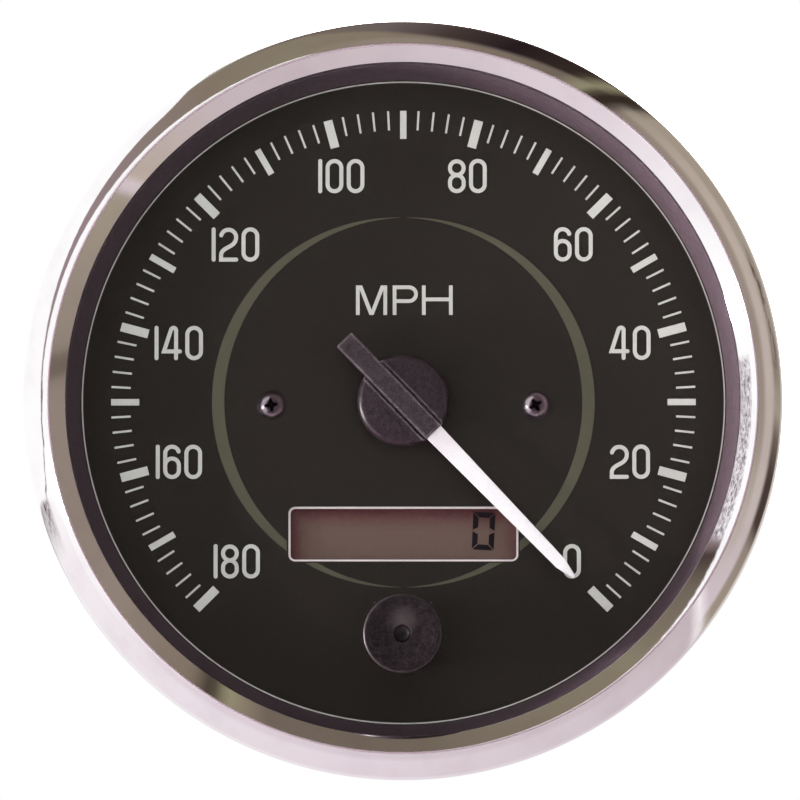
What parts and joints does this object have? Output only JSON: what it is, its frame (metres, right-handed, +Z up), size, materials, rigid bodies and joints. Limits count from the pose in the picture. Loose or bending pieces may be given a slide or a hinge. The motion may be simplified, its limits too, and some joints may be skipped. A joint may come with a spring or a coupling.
{
  "type": "speedometer",
  "caption": "Round panel-mounted electric speedometer: chrome bezel, flat lens, sweeping pointer, small display window and a push button through the lens.",
  "frame": {"origin": "on the gauge's axis, in the plane where the bezel seats on the panel", "axes": "+Y along the gauge's axis, away from the driver; the dial faces -Y; +Z up; +X to the right"},
  "size_m": [0.11, 0.0832, 0.11],
  "materials": {
    "bezel_chrome": "polished chrome plate",
    "lens_glass": "clear, flat",
    "gasket_rubber": "matt black",
    "shroud_black": "satin black moulding",
    "case_paint": "satin black enamel",
    "zinc_steel": "bright zinc",
    "dial_paint": "fine matt dark brown",
    "dial_ink": "pale grey printing ink",
    "display_glass": "brown-grey reflective cell",
    "display_ink": "dark liquid-crystal segment",
    "white_plastic": "white moulding",
    "tinned_brass": "tinned brass",
    "board_laminate": "green solder mask",
    "chip_plastic": "black moulding",
    "capacitor_sleeve": "shrunk plastic sleeve",
    "shield_steel": "dull nickel",
    "bobbin_plastic": "natural nylon",
    "winding_copper": "enamelled copper wire",
    "bearing_bronze": "turned bronze",
    "spring_steel": "bright drawn steel",
    "lamp_plastic": "off-white moulding",
    "bulb_glass": "clear glass",
    "pointer_dark": "fine-grained dark moulding",
    "pointer_white": "matt white",
    "magnet_ferrite": "sintered ferrite",
    "button_dark": "fine-grained dark moulding"
  },
  "bodies": {
    "case": {"bezel": "bezel_chrome", "lens": "lens_glass", "lens_gasket": "gasket_rubber", "dial_shroud": "shroud_black", "case_shell": "case_paint", "mounting_studs": "zinc_steel", "dial_plate": "dial_paint", "dial_graduations": "dial_ink", "dial_screws": "zinc_steel", "display_cell": "display_glass", "display_digit": "display_ink", "display_holder": "white_plastic", "display_pins": "tinned_brass", "chassis": "white_plastic", "circuit_board": "board_laminate", "board_chips": "chip_plastic", "board_capacitors": "capacitor_sleeve", "board_standoffs": "tinned_brass", "case_screws": "zinc_steel", "movement_can": "shield_steel", "bobbin_front": "bobbin_plastic", "bobbin_rear": "bobbin_plastic", "inner_winding": "winding_copper", "outer_winding": "winding_copper", "front_bearing": "bearing_bronze", "rear_bearing": "bearing_bronze", "movement_pins": "tinned_brass", "button_spring": "spring_steel", "button_guide": "chip_plastic", "switch_body": "chip_plastic", "terminal_block": "chip_plastic", "terminal_blades": "tinned_brass", "lamp_holders": "lamp_plastic", "lamp_bulbs": "bulb_glass"},
    "pointer": {"pointer_hub": "pointer_dark", "pointer_arm": "pointer_dark", "pointer_blade": "pointer_white", "pointer_weight": "shield_steel", "pointer_bush": "bearing_bronze", "spindle": "spring_steel", "rotor_magnet": "magnet_ferrite"},
    "button": {"button_cap": "button_dark", "button_stem": "button_dark", "button_clip": "spring_steel"},
    "plunger": {"switch_plunger": "bobbin_plastic"}
  },
  "joints": [
    {"name": "pointer_sweep", "type": "hinge", "parent": "case", "child": "pointer", "pos_m": [0, 0.0195, 0], "axis": [0, -1, 0], "range_deg": [0, 271]},
    {"name": "button_press", "type": "slide", "parent": "case", "child": "button", "axis": [0, 1, 0], "range_m": [0, 0.0015], "stiffness_N_per_m": 300, "springref_m": -0.002, "deforming": ["button_spring"]},
    {"name": "plunger_press", "type": "slide", "parent": "case", "child": "plunger", "axis": [0, 1, 0], "range_m": [0, 0.0015]}
  ],
  "couplings": [
    {"joint": "plunger_press", "follows": "button_press", "ratio": 1}
  ]
}
